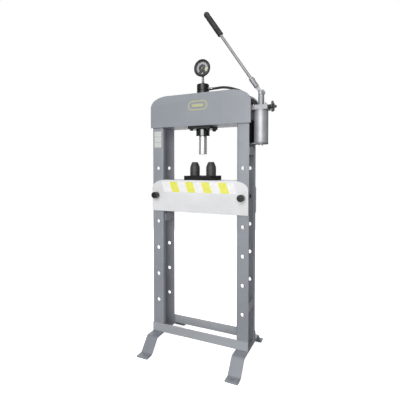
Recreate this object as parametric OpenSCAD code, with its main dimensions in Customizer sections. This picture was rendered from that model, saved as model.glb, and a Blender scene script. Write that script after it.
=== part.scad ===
// Floor-standing hydraulic shop press with a hand pump.
// Origin: on the floor, under the ram. +X right, +Y to the rear, +Z up. Millimetres.

/* [Frame] */
// Half distance between the two rows of column holes
hole_x = 266; // [260:1:270]
// Height of the lowest column hole
hole_z0 = 275; // [260:1:290]
// Distance between one column hole and the next
hole_pitch = 160; // [155:1:165]
// Number of holes in each column bar
hole_rows = 6; // [6:1:6]
// Radius of the column holes
hole_r = 10.5; // [10.3:0.1:11]
// Width of one column bar
bar_w = 70; // [66:1:72]
// Sheet thickness of the column bars
bar_t = 8; // [6:1:9]
// Depth of the folded edge on each column bar
bar_lip = 28; // [20:1:32]
// Depth of the columns from front face to rear face
frame_d = 138; // [134:1:142]
// Height of the foot's top face, where the columns start
foot_top = 82; // [78:1:86]
// Height of the floor rails
rail_h = 50; // [45:1:55]
// Thickness of the floor rails
rail_t = 8; // [6:1:10]

/* [Head] */
// Height of the top edge of the head
head_top = 1500; // [1495:1:1505]
// Height of the bottom edge of the head
head_bottom = 1316; // [1312:1:1320]
// Width of the head plates
head_w = 622; // [612:1:630]
// Thickness of the head plates
head_t = 10; // [8:1:12]

/* [Feet] */
// Depth over the toes of a foot
foot_d = 498; // [480:1:504]
// Thickness of the foot's flat bar
foot_t = 9; // [8:1:10]
// Radius of the anchor hole in each toe
anchor_r = 6; // [5:0.5:7]

/* [Bed] */
// Height of the bed's top edge
bed_top = 1006; // [1002:1:1010]
// Height of the bed plates
bed_h = 186; // [180:1:190]
// Width of the bed plates
bed_w = 600; // [590:1:604]
// Thickness of the bed plates
bed_t = 10; // [8:1:12]
// Radius of the bed pins
bed_pin_r = 10; // [9.8:0.1:10]

/* [Ram] */
// Radius of the piston rod
rod_r = 23.5; // [22:0.5:24]
// Height of the rod's end face as stored
rod_end = 1155; // [1150:1:1160]
// Bore radius of the cylinder
barrel_bore_r = 28.5; // [28:0.5:29]
// Clearance around the rod and the piston
running_gap = 0.05; // [0.03:0.01:0.08]

/* [Gauge] */
// Radius of the gauge's rim
gauge_r = 50; // [48:1:52]
// Height of the gauge's centre
gauge_z = 1656; // [1650:1:1662]

/* [Pump] */
// Distance of the pump's axis from the ram's axis
pump_x = 347; // [347:1:348]
// Radius of the oil reservoir
tank_r = 39; // [36:1:39]
// Lean of the lever from upright, towards the head
lever_lean = 34; // [30:1:36]
// Length of the lever from its pin to its tip
lever_len = 596; // [560:1:600]
// Swing of the lever, which the eccentric hub is set for
lever_swing = 75; // [60:1:80]

/* [Hidden] */
$fn = 64;
touch = 0.01;

// Frame
frame_y = frame_d / 2;                    // outer face of the column bars
frame_in_y = frame_y - bar_t;
bar_in_x = hole_x - bar_w / 2;            // inner edge of a column
bar_out_x = hole_x + bar_w / 2;           // outer edge of a column
bar_top = head_top - 42;
batten_t = 6;
batten_h = 45;
batten_z = [293, 755, 1146];              // bottoms: lower and upper outside, middle inside
head_shoulder = [[205, head_top], [300, head_top - 8], [head_w / 2, head_top - 60]];
web_t = 8;
web_x = bar_in_x - web_t - 2;             // inner face of the head webs
base_plate_t = 12;
seat_t = 15;
seat_w = 136;
seat_d = 122;
seat_bolt_x = 52;
seat_bolt_y = 46;
seat_bolt_r = 6;
seat_hole_r = 6.2;

// Feet
foot_bend_y = 140;
foot_heel_y = 202;
foot_ease = 9;
anchor_y = 225;

// Bed
bed_gap = 0.5;
bed_in_y = frame_y + bed_gap;             // inner face of the bed plates
bed_out_y = bed_in_y + bed_t;
bed_pin_z = hole_z0 + 4 * hole_pitch;
bed_shoulder = [[218, bed_top], [292, bed_top - 5], [bed_w / 2, bed_top - 48]];
bed_head_r = 18.5;
bed_head_l = 34;
bed_collar_l = 6;
bed_tail_l = 14;
crossbar_x = bar_in_x - 12;
crossbar_t = 8;
crossbar_h = 130;

// Tooling on the bed
plate_w = 170;
plate_d = 2 * bed_out_y;
plate_h = 25;
block_x = 52;
block_r = 29;
block_h = 80;
block_top_r = 16;
block_shoulder = 44;

// Cylinder, from the bottom up
gland_r = 40;
gland_bottom = 1261;
gland_top = head_bottom - seat_t;
spigot_top = gland_top + 8;
barrel_r = 33;
barrel_top = 1524;
barrel_hole_r = barrel_r + 0.2;
cap_r = 35.5;
cap_bottom = 1496;
cap_top = 1564;
port_z = 1534;
piston_h = 30;
piston_z = 1408;                          // underside of the piston head as stored
seal_h = 6;
seal_depth = 4;
rod_hole_r = rod_r + running_gap;
spring_turns = 10;
spring_wire_r = 1.4;
spring_r = (rod_r + barrel_bore_r) / 2;

// Gauge
gauge_front = -21;
bezel_lip = 3;
bezel_back = -7.5;
bezel_bore_r = gauge_r - 6;
gauge_back = 8;
case_r = gauge_r - 8;                     // the case's body is narrower than its rim
case_wall = 3;
dial_t = 1.5;
dial_y = bezel_back - 2 - dial_t;         // front face; the dial lies on the rim's inner step
needle_hub_r = 5;
needle_pin_r = 2;
needle_y = dial_y - 2.2;
needle_rest = 225;                        // clockwise from straight up, at zero load
stem_r = 7;

// Hose and its rubber-covered elbow
hose_r = 7;
hose_sides = 12;
elbow_r = 15;
elbow_bend_r = 24;
elbow_arc = 45;
elbow_x = 290;
ferrule_l = 24;
block_top = 1414;                         // top face of the pump block
elbow_end = [elbow_x + elbow_bend_r * cos(elbow_arc) - ferrule_l * sin(elbow_arc),
    block_top + elbow_bend_r * sin(elbow_arc) + ferrule_l * cos(elbow_arc)];
hose_route = [[62, port_z], [78, port_z], [95, port_z + 1], [113, port_z + 1.5], [130, port_z + 0.5],
    [145, 1532.5], [159, 1529.5], [173, 1526], [187, 1521.5], [201, 1516.5], [213, 1512], [224, 1507],
    [237, 1499.5], [250, 1489.5], [264, 1476], [277, 1461.5], elbow_end + [-0.3, 0.3]];

// Pump
bracket_t = 6;
bracket_bottom = 1212;
bracket_h = 121;
bracket_d = 128;
shelf_z = 1205;
shelf_t = 7;
shelf_d = 72;
bracket_bolt_y = frame_y - bar_lip / 2;
bracket_hole_r = 5.2;
bracket_bolt_z = [1235, 1310];
tank_wall = 3;
block_bottom = 1389;
block_left = 302;
block_right = 390;
pump_block_d = 80;
tie_r = 6;
tower_r = 16.5;
pivot_z = 1481;
ear_top = pivot_z + 14;
ear_gap = 15;                             // space between the two ears of the tower
chamber_r = 10.5;
plunger_r = 6;
plunger_hole_r = plunger_r + running_gap;
hub_r = 15;
hub_t = 14;
hub_offset = 7;
hub_angle = lever_swing / 2;              // hub centre above level as stored
lever_pin_r = 5;
lever_hole_r = lever_pin_r + running_gap;
cam_gap = 0.3;
hub_z = pivot_z + hub_offset * sin(hub_angle);
plunger_top = hub_z - hub_r - cam_gap;
plunger_head_h = 5;
plunger_head_r = 10;
plunger_bottom = 1405;
plunger_hole_bottom = plunger_bottom - 12;
chamber_floor = 1435;
shank_w = 18;
shank_t = 11;
socket_r = 13.5;
socket_start = 42;
socket_end = 104;
lever_rod_r = 8;
lever_rod_start = socket_start + 14;
grip_r = 16.5;
grip_len = 174;
grip_end_wall = 11;
valve_z = 1405;
valve_tip_x = 431;
valve_r = 6.5;
valve_nut_l = 12;
valve_thread_l = 14;
knob_x = 404;
knob_r = 31;
knob_t = 12;
knob_lobes = 5;
lobe_r = 7.5;
plug_x = pump_x + 24;
plug_r = 4;
plug_l = 8;

// Shared shapes

// A mirrored pair's left member from the right one
module left() { mirror([1, 0, 0]) children(); }

// A box between two corners
module span(a, b) { translate(a) cube(b - a); }

// A cylinder along Y from y0 to y1
module rod_y(r, y0, y1) { translate([0, y1, 0]) rotate([90, 0, 0]) cylinder(r = r, h = y1 - y0); }

// A cylinder along X from x0 to x1
module rod_x(r, x0, x1) { translate([x0, 0, 0]) rotate([0, 90, 0]) cylinder(r = r, h = x1 - x0); }

// A hollow cylinder along Z
module ring_z(r_out, r_in, z0, z1) {
    translate([0, 0, z0]) difference() {
        cylinder(r = r_out, h = z1 - z0);
        translate([0, 0, -1]) cylinder(r = r_in, h = z1 - z0 + 2);
    }
}

// A plate in the XZ plane, from y0 to y1
module plate_xz(y0, y1) { translate([0, y1, 0]) rotate([90, 0, 0]) linear_extrude(y1 - y0) children(); }

// Points of a curve that starts at c[0], aims at c[1] and ends at c[2]
function eased(c, steps = 10) = [for (i = [0:steps]) let (t = i / steps)
    (1 - t) * (1 - t) * c[0] + 2 * t * (1 - t) * c[1] + t * t * c[2]];

// A plate outline with two rounded shoulders, each following the curve through three corners
module shouldered(half_w, z0, corners) {
    right = eased(corners);
    polygon(concat([[-half_w, z0], [half_w, z0]], [for (i = [len(right) - 1:-1:0]) right[i]],
        [for (p = right) [-p[0], p[1]]]));
}

// A hexagon-headed screw standing along +Z, its head under z = 0
module hex_screw(r, head_r, head_h, length) {
    translate([0, 0, -head_h]) cylinder(r = head_r, h = head_h, $fn = 6);
    cylinder(r = r, h = length);
}

function unit(v) = v / norm(v);
function tangent(path, i) = unit(path[min(i + 1, len(path) - 1)] - path[max(i - 1, 0)]);
function ring_at(path, i, r, sides, up) =
    let (t = tangent(path, i), n = unit(cross(t, up)), b = cross(n, t))
    [for (k = [0:sides - 1]) path[i] + r * (cos(360 * k / sides) * n + sin(360 * k / sides) * b)];

// A round tube swept along a path; up is a direction that the path never follows
module sweep(path, r, sides, up) {
    rings = len(path);
    points = [for (i = [0:rings - 1]) each ring_at(path, i, r, sides, up)];
    walls = [for (i = [0:rings - 2], k = [0:sides - 1]) let (n = (k + 1) % sides)
        [i * sides + k, i * sides + n, (i + 1) * sides + n, (i + 1) * sides + k]];
    start = [for (k = [sides - 1:-1:0]) k];
    end = [for (k = [0:sides - 1]) (rings - 1) * sides + k];
    polyhedron(points, concat(walls, [start, end]));
}

// A coil spring along Z between two heights, wire surface to wire surface
module coil(r, wire, z0, z1, turns, steps, sides) {
    count = turns * steps;
    rise = z1 - z0 - 2 * wire;
    sweep([for (i = [0:count]) [r * cos(360 * i / steps), r * sin(360 * i / steps),
        z0 + wire + rise * i / count]], wire, sides, [0, 0, 1]);
}

// Frame weldment

// Front right bar: a flat face to the front, with its inner edge folded to the rear
module column_bar() {
    difference() {
        union() {
            span([bar_in_x, -frame_y, foot_top], [bar_out_x, -frame_in_y, bar_top]);
            span([bar_in_x, -frame_in_y - touch, foot_top],
                [bar_in_x + bar_t, -frame_y + bar_lip, bar_top]);
        }
        for (row = [0:hole_rows - 1])
            translate([hole_x, 0, hole_z0 + row * hole_pitch]) rod_y(hole_r, -frame_y - 1, -frame_in_y + 1);
    }
}

// The rear bar is the same part turned half round
module column_bar_rear() { translate([2 * hole_x, 0, 0]) rotate(180) column_bar(); }

module column_front_left() { color("slategray") left() column_bar(); }
module column_front_right() { color("slategray") column_bar(); }
module column_rear_left() { color("slategray") left() column_bar_rear(); }
// Its outer edge is drilled for the pump bracket
module column_rear_right() {
    color("slategray") difference() {
        column_bar_rear();
        bracket_screw_places() rod_x(bracket_hole_r, bar_out_x - bar_t - 1, bar_out_x + 1);
    }
}

// Let in flush between the front and rear bar: lower and upper on the outer side, middle one inside
module battens() {
    for (i = [0, 2])
        span([bar_out_x - batten_t, -frame_in_y, batten_z[i]],
            [bar_out_x, frame_y - bar_lip, batten_z[i] + batten_h]);
    span([bar_in_x, bar_lip - frame_y, batten_z[1]], [bar_in_x + batten_t, frame_in_y, batten_z[1] + batten_h]);
}
module battens_left() { color("slategray") left() battens(); }
module battens_right() { color("slategray") battens(); }

module head_plate() {
    plate_xz(-frame_y - head_t, -frame_y)
        shouldered(head_w / 2, head_bottom, head_shoulder);
}
module head_plate_front() { color("lightslategray") head_plate(); }
module head_plate_rear() { color("lightslategray") mirror([0, 1, 0]) head_plate(); }

module head_web() { span([web_x, -frame_y, head_bottom], [web_x + web_t, frame_y, bar_top]); }
module head_web_left() { color("slategray") left() head_web(); }
module head_web_right() { color("slategray") head_web(); }

module head_base_plate() {
    color("slategray") difference() {
        span([-web_x, -frame_y, head_bottom], [web_x, frame_y, head_bottom + base_plate_t]);
        translate([0, 0, head_bottom - 1]) cylinder(r = barrel_hole_r, h = base_plate_t + 2);
        seat_screw_places() translate([0, 0, head_bottom - 1]) cylinder(r = seat_hole_r, h = base_plate_t + 2);
    }
}

// Places the four screws that hold the cylinder's seat plate
module seat_screw_places() {
    for (x = [-1, 1], y = [-1, 1]) translate([x * seat_bolt_x, y * seat_bolt_y, 0]) children();
}

module cylinder_seat_plate() {
    color("black") difference() {
        span([-seat_w / 2, -seat_d / 2, gland_top], [seat_w / 2, seat_d / 2, head_bottom]);
        translate([0, 0, gland_top - 1]) cylinder(r = barrel_hole_r, h = seat_t + 2);
        seat_screw_places() translate([0, 0, gland_top - 1]) cylinder(r = seat_hole_r, h = seat_t + 2);
    }
}
module seat_bolts() {
    color("black") seat_screw_places() translate([0, 0, gland_top]) hex_screw(seat_bolt_r, 11, 8, 36);
}

module rail() {
    span([-bar_out_x, -frame_y - rail_t, foot_top + 1], [bar_out_x, -frame_y, foot_top + 1 + rail_h]);
}
module rail_front() { color("slategray") rail(); }
module rail_rear() { color("slategray") mirror([0, 1, 0]) rail(); }

// Middle line of the foot's bar in Y and Z, with each bend eased over foot_ease
function foot_line() =
    let (mid = foot_t / 2, corners = [[-foot_d / 2, mid], [-foot_heel_y, mid],
        [-foot_bend_y, foot_top - mid], [foot_bend_y, foot_top - mid], [foot_heel_y, mid], [foot_d / 2, mid]])
    concat([corners[0]],
        [for (i = [1:len(corners) - 2]) let (c = corners[i])
            each eased([c - foot_ease * unit(c - corners[i - 1]), c,
                c + foot_ease * unit(corners[i + 1] - c)], 5)],
        [corners[len(corners) - 1]]);

// A line moved sideways by a distance
function beside(line, d) = [for (i = [0:len(line) - 1])
    let (t = tangent(line, i)) line[i] + d * [-t[1], t[0]]];

// Bent flat bar: level under the column, sloping down to a flat toe at each end
module foot() {
    line = foot_line();
    under = beside(line, -foot_t / 2);
    difference() {
        translate([bar_in_x, 0, 0]) rotate([90, 0, 90]) linear_extrude(bar_w)
            polygon(concat(beside(line, foot_t / 2), [for (i = [len(under) - 1:-1:0]) under[i]]));
        for (y = [-anchor_y, anchor_y]) translate([hole_x, y, -1]) cylinder(r = anchor_r, h = foot_t + 2);
    }
}
module foot_left() { color("slategray") left() foot(); }
module foot_right() { color("slategray") foot(); }

// Bed

module bed_plate() {
    difference() {
        plate_xz(-bed_out_y, -bed_in_y)
            shouldered(bed_w / 2, bed_top - bed_h, bed_shoulder);
        for (x = [-hole_x, hole_x])
            translate([x, 0, bed_pin_z]) rod_y(hole_r, -bed_out_y - 1, -bed_in_y + 1);
    }
}
module bed_plate_front() { color("gainsboro") bed_plate(); }
module bed_plate_rear() { color("gainsboro") mirror([0, 1, 0]) bed_plate(); }

module bed_crossbar() {
    translate([crossbar_x - crossbar_t, -bed_in_y, bed_top - 15 - crossbar_h])
        cube([crossbar_t, 2 * bed_in_y, crossbar_h]);
}
module bed_crossbar_left() { color("gainsboro") left() bed_crossbar(); }
module bed_crossbar_right() { color("gainsboro") bed_crossbar(); }

// Plain pin with a round head that stops against the front bed plate
module bed_pin() {
    translate([hole_x, 0, bed_pin_z]) {
        rod_y(bed_pin_r, -bed_out_y - bed_collar_l - touch, bed_out_y + bed_tail_l);
        rod_y(bed_head_r - 2.5, -bed_out_y - bed_collar_l, -bed_out_y - 0.3);
        rod_y(bed_head_r, -bed_out_y - bed_collar_l - bed_head_l, -bed_out_y - bed_collar_l);
    }
}
module bed_pin_left() { color("#202022") left() bed_pin(); }
module bed_pin_right() { color("#202022") bed_pin(); }

// Tooling

module press_plate() {
    color("#1c1c1e") translate([-plate_w / 2, -plate_d / 2, bed_top]) cube([plate_w, plate_d, plate_h]);
}

// Turned block: straight foot, then a rounded taper to a flat top
module support_block() {
    base = bed_top + plate_h;
    translate([block_x, 0, base]) rotate_extrude()
        polygon(concat([[0, 0], [block_r - 1, 0], [block_r, 1], [block_r, block_shoulder]],
            [for (i = [1:6]) let (t = i / 6)
                [block_r - (block_r - block_top_r) * pow(t, 1.6),
                block_shoulder + (block_h - block_shoulder) * t]], [[0, block_h]]));
}
module support_block_left() { color("#3c3c3e") left() support_block(); }
module support_block_right() { color("#3c3c3e") support_block(); }

// Cylinder and ram

module cylinder_barrel() { color("dimgray") ring_z(barrel_r, barrel_bore_r, gland_top, barrel_top); }

module cylinder_cap() {
    color("#18181a") difference() {
        translate([0, 0, cap_bottom]) cylinder(r = cap_r, h = cap_top - cap_bottom);
        translate([0, 0, cap_bottom - 1]) cylinder(r = barrel_r, h = barrel_top - cap_bottom + 1);
        translate([0, 0, barrel_top - 1]) cylinder(r = 4, h = cap_top - barrel_top + 2);
        translate([0, 0, cap_top - 12]) cylinder(r = stem_r - 1.5, h = 13);
        translate([0, 0, port_z]) rod_x(4, 0, cap_r + 1);
        translate([0, 0, port_z]) rod_x(6.5, cap_r - 12, cap_r + 1);
    }
}

module cylinder_gland() {
    color("#18181a") difference() {
        union() {
            ring_z(gland_r, rod_hole_r, gland_bottom, gland_top);
            ring_z(barrel_bore_r, rod_hole_r, gland_top - touch, spigot_top);
        }
        ring_z(rod_r + 3, rod_r - 1, gland_bottom + 8, gland_bottom + 14);
    }
}

module rod_wiper() { color("black") ring_z(rod_r + 3, rod_hole_r, gland_bottom + 8, gland_bottom + 14); }

module piston_rod() {
    color("lightgray") translate([0, 0, rod_end]) union() {
        translate([0, 0, 2]) cylinder(r = rod_r, h = piston_z - rod_end - 2);
        cylinder(r1 = rod_r - 2, r2 = rod_r, h = 2);
    }
}

module piston_head() {
    color("gray") difference() {
        translate([0, 0, piston_z]) cylinder(r = barrel_bore_r - running_gap, h = piston_h);
        ring_z(barrel_bore_r + 1, barrel_bore_r - seal_depth, piston_z + 12, piston_z + 12 + seal_h);
    }
}
module piston_seal() {
    color("black")
        ring_z(barrel_bore_r - running_gap, barrel_bore_r - seal_depth, piston_z + 12, piston_z + 12 + seal_h);
}

module return_spring() {
    color("silver") coil(spring_r, spring_wire_r, spigot_top, piston_z, spring_turns, 16, 6);
}

// Gauge

module gauge_stem() {
    color("silver") {
        translate([0, 0, cap_top - 12]) cylinder(r = stem_r - 1.5, h = 12 + touch);
        translate([0, 0, cap_top]) cylinder(r = stem_r, h = gauge_z - case_r + 4 - cap_top);
    }
}

// Cup that is open to the front, behind the rim
module gauge_case() {
    color("#1a1a1c") translate([0, 0, gauge_z]) difference() {
        rod_y(case_r, bezel_back, gauge_back);
        rod_y(case_r - case_wall, bezel_back - 1, gauge_back - case_wall);
        translate([0, 0, -gauge_r]) cylinder(r = stem_r, h = gauge_r - case_r + 4);
    }
}
// Rim: a lip over the glass, a bore for the dial and a step that closes on the case
module gauge_bezel() {
    color("#1a1a1c") translate([0, 0, gauge_z]) difference() {
        rod_y(gauge_r, gauge_front, bezel_back);
        rod_y(bezel_bore_r - 2, gauge_front - 1, gauge_front + bezel_lip);
        rod_y(bezel_bore_r, gauge_front + bezel_lip - touch, bezel_back - 2);
        rod_y(case_r - case_wall, bezel_back - 2 - touch, bezel_back + 1);
    }
}
module gauge_glass() {
    color("white", 0.3) translate([0, 0, gauge_z])
        rod_y(bezel_bore_r - 0.2, gauge_front + bezel_lip, gauge_front + bezel_lip + 2);
}
module gauge_dial() {
    color("white") translate([0, 0, gauge_z]) difference() {
        rod_y(bezel_bore_r - 0.2, dial_y, dial_y + dial_t);
        rod_y(needle_pin_r + running_gap, dial_y - 1, dial_y + dial_t + 1);
    }
}
module gauge_needle() {
    color("black") translate([0, 0, gauge_z]) {
        rod_y(needle_pin_r, needle_y - touch, dial_y + dial_t + 3);
        rod_y(needle_hub_r, needle_y - 1.4, needle_y);
        rotate([0, needle_rest, 0]) translate([0, needle_y, 0]) rotate([90, 0, 0]) linear_extrude(1)
            polygon([[-1.6, -12], [1.6, -12], [0.5, 36], [-0.5, 36]]);
    }
}

// Hose

module hose() {
    color("#161618") sweep([for (p = hose_route) [p[0], 0, p[1]]], hose_r, hose_sides, [0, 1, 0]);
}
module hose_fitting() {
    start = hose_route[0][0];
    color("silver") translate([0, 0, port_z]) {
        rod_x(6.5, cap_r - 12, cap_r + touch);
        rotate([0, 90, 0]) translate([0, 0, cap_r]) cylinder(r = 11, h = 9, $fn = 6);
        rod_x(8.5, cap_r + 9 - touch, start);
    }
}

// Rubber-covered elbow: a straight ferrule, an eighth of a turn, then down into the pump block
module hose_elbow() {
    color("#101012") translate([elbow_x, 0, block_top]) rotate([90, 0, 0]) {
        rotate_extrude(angle = elbow_arc) translate([elbow_bend_r, 0]) circle(r = elbow_r);
        rotate(elbow_arc) translate([elbow_bend_r, -touch, 0]) rotate([-90, 0, 0])
            cylinder(r = elbow_r, h = ferrule_l);
    }
}

// Pump

// The two screws that hold the bracket to the rear bar's outer edge
module bracket_screw_places() { for (z = bracket_bolt_z) translate([0, bracket_bolt_y, z]) children(); }
module pump_bracket() {
    color("#0c0c0e") difference() {
        translate([bar_out_x, -bracket_d / 2, bracket_bottom]) cube([bracket_t, bracket_d, bracket_h]);
        bracket_screw_places() rod_x(bracket_hole_r, bar_out_x - 1, bar_out_x + bracket_t + 1);
    }
}
module bracket_bolts() {
    color("black") bracket_screw_places()
        translate([bar_out_x + bracket_t, 0, 0]) rotate([0, -90, 0]) hex_screw(5, 8.5, 6, 16);
}

// Plate under the reservoir, rounded at its outer end
module pump_shelf() {
    color("silver") difference() {
        translate([0, 0, shelf_z]) linear_extrude(shelf_t) {
            translate([bar_out_x, -shelf_d / 2]) square([pump_x - bar_out_x, shelf_d]);
            translate([pump_x, 0]) circle(r = tank_r);
        }
        translate([pump_x, 0, shelf_z - 1]) cylinder(r = tie_r + 0.2, h = shelf_t + 2);
    }
}
module reservoir() {
    color("lightgray") translate([pump_x, 0, 0])
        ring_z(tank_r, tank_r - tank_wall, shelf_z + shelf_t, block_bottom);
}
module reservoir_tie_rod() {
    color("gray") translate([pump_x, 0, 0]) {
        translate([0, 0, shelf_z]) cylinder(r = tie_r, h = block_bottom - shelf_z);
        translate([0, 0, shelf_z - 7]) cylinder(r = 10, h = 7, $fn = 6);
    }
}

// Block that closes the tank and carries the plunger, the release valve and the hose port
module pump_block() {
    color("silver") difference() {
        translate([block_left, -pump_block_d / 2, block_bottom])
            cube([block_right - block_left, pump_block_d, block_top - block_bottom]);
        translate([pump_x, 0, plunger_hole_bottom]) cylinder(r = plunger_hole_r, h = 40);
        translate([0, 0, valve_z]) rod_x(valve_r, block_right - valve_thread_l, block_right + 1);
        translate([elbow_x + elbow_bend_r, 0, block_top - 16]) cylinder(r = 5, h = 17);
        translate([plug_x, 0, block_top - plug_l]) cylinder(r = plug_r, h = plug_l + 1);
    }
}

// Upright tube over the plunger, forked at its top to hold the lever's pin
module pump_tower() {
    color("silver") translate([pump_x, 0, 0]) difference() {
        translate([0, 0, block_top]) cylinder(r = tower_r, h = ear_top - block_top);
        translate([0, 0, block_top - 1]) cylinder(r = plunger_hole_r, h = chamber_floor - block_top + 2);
        translate([0, 0, chamber_floor]) cylinder(r = chamber_r, h = ear_top - chamber_floor + 1);
        span([-tower_r - 1, -ear_gap / 2, pivot_z - 24], [tower_r + 1, ear_gap / 2, ear_top + 1]);
        translate([0, 0, pivot_z]) rod_y(lever_pin_r, -tower_r - 1, tower_r + 1);
    }
}

module pump_plunger() {
    color("lightgray") translate([pump_x, 0, 0]) {
        translate([0, 0, plunger_bottom])
            cylinder(r = plunger_r, h = plunger_top - plunger_bottom - plunger_head_h + touch);
        translate([0, 0, plunger_top - plunger_head_h]) cylinder(r = plunger_head_r, h = plunger_head_h);
    }
}
module plunger_spring() {
    color("silver") translate([pump_x, 0, 0])
        coil((plunger_r + chamber_r) / 2, 0.9, chamber_floor, plunger_top - plunger_head_h, 5, 14, 6);
}

module lever_pin() {
    color("gray") translate([pump_x, 0, pivot_z]) {
        rod_y(lever_pin_r, -tower_r - 2, tower_r + 2);
        for (s = [-1, 1]) translate([0, s * (tower_r + 2.5), 0]) rod_y(lever_pin_r + 2.5, -1, 1);
    }
}

// Puts a shape that stands along +Z at the lever's pin and leans it with the lever
module on_lever() { translate([pump_x, 0, pivot_z]) rotate([0, -lever_lean, 0]) children(); }

// Eccentric hub with a flat shank let into a round socket
module lever_socket() {
    color("darkgray") difference() {
        union() {
            translate([pump_x + hub_offset * cos(hub_angle), 0, hub_z]) rod_y(hub_r, -hub_t / 2, hub_t / 2);
            on_lever() {
                translate([-shank_w / 2, -shank_t / 2, 0]) cube([shank_w, shank_t, socket_start + 6]);
                translate([0, 0, socket_start]) cylinder(r = socket_r, h = socket_end - socket_start);
            }
        }
        translate([pump_x, 0, pivot_z]) rod_y(lever_hole_r, -hub_t, hub_t);
        on_lever() {
            translate([0, 0, lever_rod_start]) cylinder(r = lever_rod_r, h = socket_end);
            translate([0, 0, socket_end - 12]) rod_x(3, 0, socket_r + 1);
        }
    }
}
module lever_screw() {
    color("gray") on_lever() translate([0, 0, socket_end - 12]) {
        rod_x(3, lever_rod_r, socket_r + touch);
        rod_x(5, socket_r, socket_r + 3);
    }
}
module lever_rod() {
    color("lightgray") on_lever() translate([0, 0, lever_rod_start])
        cylinder(r = lever_rod_r, h = lever_len - grip_end_wall - 1 - lever_rod_start);
}
module lever_grip() {
    start = lever_len - grip_len;
    color("#262628") on_lever() difference() {
        rotate_extrude() polygon(concat([[0, start], [grip_r - 3, start], [grip_r, start + 4]],
            [for (a = [0:15:90]) [grip_r * cos(a), lever_len - grip_r + grip_r * sin(a)]]));
        translate([0, 0, start - 1]) cylinder(r = lever_rod_r, h = grip_len + 1 - grip_end_wall);
    }
}

module valve_body() {
    color("black") translate([0, 0, valve_z]) difference() {
        union() {
            rod_x(valve_r, block_right - valve_thread_l, block_right + touch);
            rotate([0, 90, 0]) translate([0, 0, block_right]) cylinder(r = 14, h = valve_nut_l, $fn = 6);
        }
        rod_x(4 + running_gap, block_right - 12, block_right + valve_nut_l + 1);
    }
}

// Spindle, lobed hand knob and end stub, all one piece; radius against X
module valve_knob() {
    collar_x = block_right + valve_nut_l + 0.5;
    color("#3a3a3c") translate([0, 0, valve_z]) rotate([0, 90, 0]) {
        rotate_extrude() polygon([[0, block_right - 10], [4, block_right - 10], [4, collar_x], [11, collar_x],
            [11, knob_x], [17, knob_x], [17, knob_x + knob_t], [8, knob_x + knob_t], [8, valve_tip_x - 4],
            [5, valve_tip_x], [0, valve_tip_x]]);
        for (i = [0:knob_lobes - 1]) rotate(i * 360 / knob_lobes)
            translate([lobe_r - knob_r, 0, knob_x + 1]) cylinder(r = lobe_r, h = knob_t - 2);
    }
}

module filler_plug() {
    color("dimgray") translate([plug_x, 0, block_top]) {
        translate([0, 0, -plug_l]) cylinder(r = plug_r, h = plug_l + touch);
        cylinder(r = plug_r + 1, h = 15);
    }
}

column_front_left();
column_front_right();
column_rear_left();
column_rear_right();
battens_left();
battens_right();
head_plate_front();
head_plate_rear();
head_web_left();
head_web_right();
head_base_plate();
cylinder_seat_plate();
seat_bolts();
rail_front();
rail_rear();
foot_left();
foot_right();
bed_plate_front();
bed_plate_rear();
bed_crossbar_left();
bed_crossbar_right();
bed_pin_left();
bed_pin_right();
press_plate();
support_block_left();
support_block_right();
cylinder_barrel();
cylinder_cap();
cylinder_gland();
piston_rod();
piston_head();
piston_seal();
rod_wiper();
return_spring();
gauge_stem();
gauge_case();
gauge_bezel();
gauge_dial();
gauge_glass();
gauge_needle();
hose();
hose_fitting();
hose_elbow();
pump_bracket();
pump_shelf();
bracket_bolts();
pump_block();
reservoir();
reservoir_tie_rod();
pump_tower();
pump_plunger();
plunger_spring();
lever_pin();
lever_socket();
lever_screw();
lever_rod();
lever_grip();
valve_body();
valve_knob();
filler_plug();
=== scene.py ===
"""Looks of a floor-standing hydraulic shop press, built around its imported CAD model.

Metres, +Z up, the ram on the Z axis, the front towards -Y. Flat plates keep their CAD nodes and get eased
edges, and a few plain parts inside keep theirs. What is turned, bent, moulded or printed is a finer piece
that stands for its node.
"""
import math
import random

import bmesh
import bpy
from mathutils import Matrix, Vector


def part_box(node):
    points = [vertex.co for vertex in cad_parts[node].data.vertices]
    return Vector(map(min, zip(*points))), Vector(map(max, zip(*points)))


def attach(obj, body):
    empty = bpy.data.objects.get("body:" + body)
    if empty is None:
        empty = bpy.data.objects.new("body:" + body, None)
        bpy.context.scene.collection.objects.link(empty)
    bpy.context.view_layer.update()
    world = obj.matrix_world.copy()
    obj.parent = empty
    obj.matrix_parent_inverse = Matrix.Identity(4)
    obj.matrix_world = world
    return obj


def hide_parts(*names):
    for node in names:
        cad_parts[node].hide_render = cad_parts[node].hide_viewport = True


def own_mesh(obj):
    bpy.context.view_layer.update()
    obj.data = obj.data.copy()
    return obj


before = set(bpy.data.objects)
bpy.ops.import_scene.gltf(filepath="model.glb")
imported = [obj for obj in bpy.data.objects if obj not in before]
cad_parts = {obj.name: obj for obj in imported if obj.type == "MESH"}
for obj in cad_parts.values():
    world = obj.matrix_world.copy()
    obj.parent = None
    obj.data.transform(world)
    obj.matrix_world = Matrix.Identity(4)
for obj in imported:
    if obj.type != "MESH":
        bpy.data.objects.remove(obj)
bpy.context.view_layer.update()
scene = bpy.context.scene

# ---------------------------------------------------------------- sizes that the frame's boxes don't give

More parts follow.
